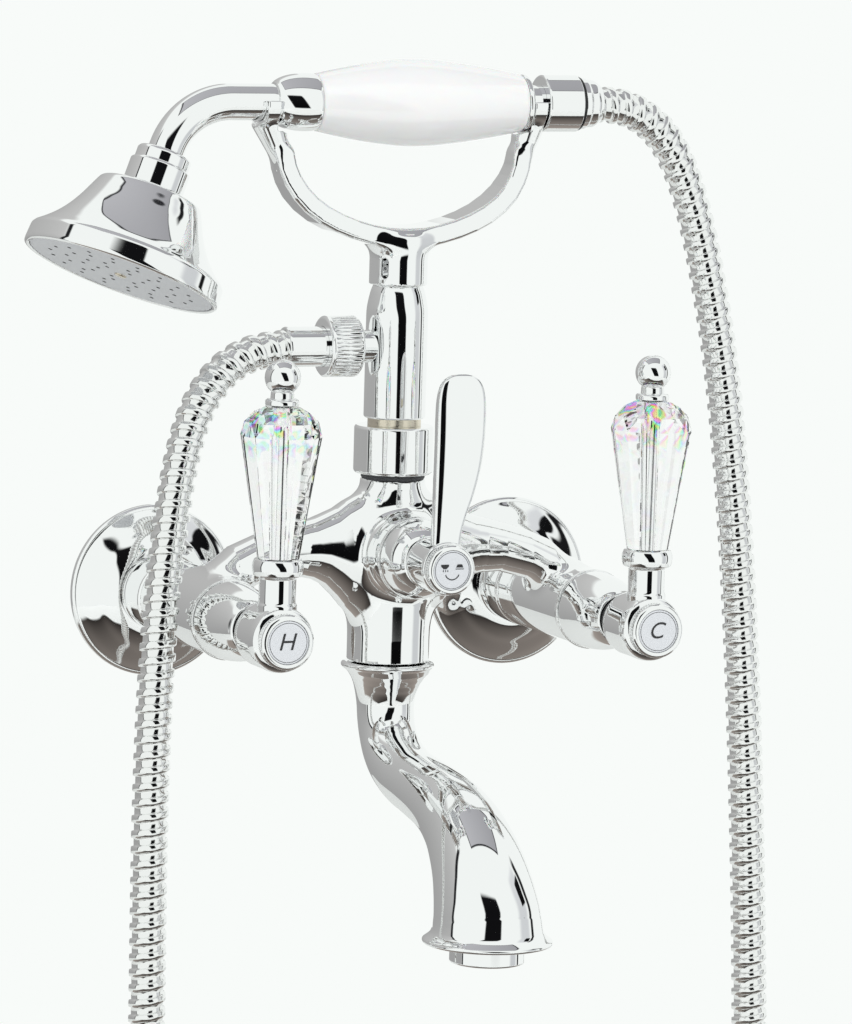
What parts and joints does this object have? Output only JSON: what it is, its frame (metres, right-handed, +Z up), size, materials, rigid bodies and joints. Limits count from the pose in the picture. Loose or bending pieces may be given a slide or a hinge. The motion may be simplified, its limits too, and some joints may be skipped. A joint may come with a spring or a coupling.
{
  "type": "bath shower mixer tap",
  "caption": "Wall-mounted chrome bath mixer with crystal lever taps, swivel spout, diverter and a hand shower resting on a fork cradle, joined by a ribbed hose.",
  "frame": {"origin": "on the wall's face, midway between the two wall connections", "axes": "+X to the right seen from the front, +Y into the wall along the two inlet studs, +Z up"},
  "size_m": [0.319, 0.2044, 0.6968],
  "materials": {
    "chrome": "polished",
    "hose_chrome": "polished",
    "seal_rubber": "matte",
    "black_plastic": "satin",
    "brass": "satin",
    "crystal": "polished",
    "badge_enamel": "glossy",
    "porcelain": "glossy",
    "spray_plastic": "glossy",
    "aerator_plastic": "satin",
    "screw_steel": "satin"
  },
  "bodies": {
    "mixer": {"wall_unions": "chrome", "wall_rose_left": "chrome", "wall_rose_right": "chrome", "union_nuts": "chrome", "inlet_washers": "seal_rubber", "mixer_body": "chrome", "valve_cartridges": "brass", "valve_shroud_left": "chrome", "valve_shroud_right": "chrome", "diverter_cartridge": "brass", "diverter_shroud": "chrome", "column_seal": "seal_rubber", "column_nut": "chrome", "column_ring": "brass", "riser_column": "chrome", "cradle": "chrome", "cradle_grub_screw": "screw_steel", "hose_nut": "chrome", "outlet_washer": "seal_rubber", "hose_ferrule": "chrome", "hose_mixer_side": "hose_chrome"},
    "hot_handle": {"valve_spindle_left": "brass", "handle_hub_left": "chrome", "handle_stem_left": "chrome", "handle_crystal_left": "crystal", "handle_finial_left": "chrome", "index_cap_left": "chrome", "index_badge_left": "badge_enamel", "handle_screw_left": "screw_steel"},
    "cold_handle": {"valve_spindle_right": "brass", "handle_hub_right": "chrome", "handle_stem_right": "chrome", "handle_crystal_right": "crystal", "handle_finial_right": "chrome", "index_cap_right": "chrome", "index_badge_right": "badge_enamel", "handle_screw_right": "screw_steel"},
    "diverter_control": {"diverter_spindle": "brass", "diverter_lever": "chrome", "diverter_cap": "chrome", "diverter_badge": "badge_enamel", "diverter_screw": "screw_steel"},
    "swivel_spout": {"spout": "chrome", "spout_seals": "seal_rubber", "aerator_housing": "chrome", "aerator_insert": "aerator_plastic"},
    "hand_shower": {"handset_arm": "chrome", "front_ferrule": "chrome", "grip": "porcelain", "rear_ferrule": "chrome", "shower_bell": "chrome", "spray_face": "spray_plastic", "shower_collar": "chrome", "handset_washer": "seal_rubber", "hose_connector": "chrome", "hose_swivel_ring": "black_plastic", "hose_swivel": "chrome", "hose_handset_side": "hose_chrome"}
  },
  "joints": [
    {"name": "hot_tap", "type": "hinge", "parent": "mixer", "child": "hot_handle", "pos_m": [-0.075, -0.13, 0], "axis": [0, -1, 0], "range_deg": [0, 90]},
    {"name": "cold_tap", "type": "hinge", "parent": "mixer", "child": "cold_handle", "pos_m": [0.075, -0.13, 0], "axis": [0, 1, 0], "range_deg": [0, 90]},
    {"name": "diverter", "type": "hinge", "parent": "mixer", "child": "diverter_control", "pos_m": [0, -0.11, 0.0218], "axis": [0, 1, 0], "range_deg": [-45, 45]},
    {"name": "spout_swivel", "type": "hinge", "parent": "mixer", "child": "swivel_spout", "pos_m": [0, -0.0615, -0.03], "axis": [0, 0, 1], "range_deg": [-60, 60]},
    {"name": "hand_shower_lift", "type": "slide", "parent": "mixer", "child": "hand_shower", "axis": [0, 0, 1], "range_m": [0, 0.08]}
  ]
}
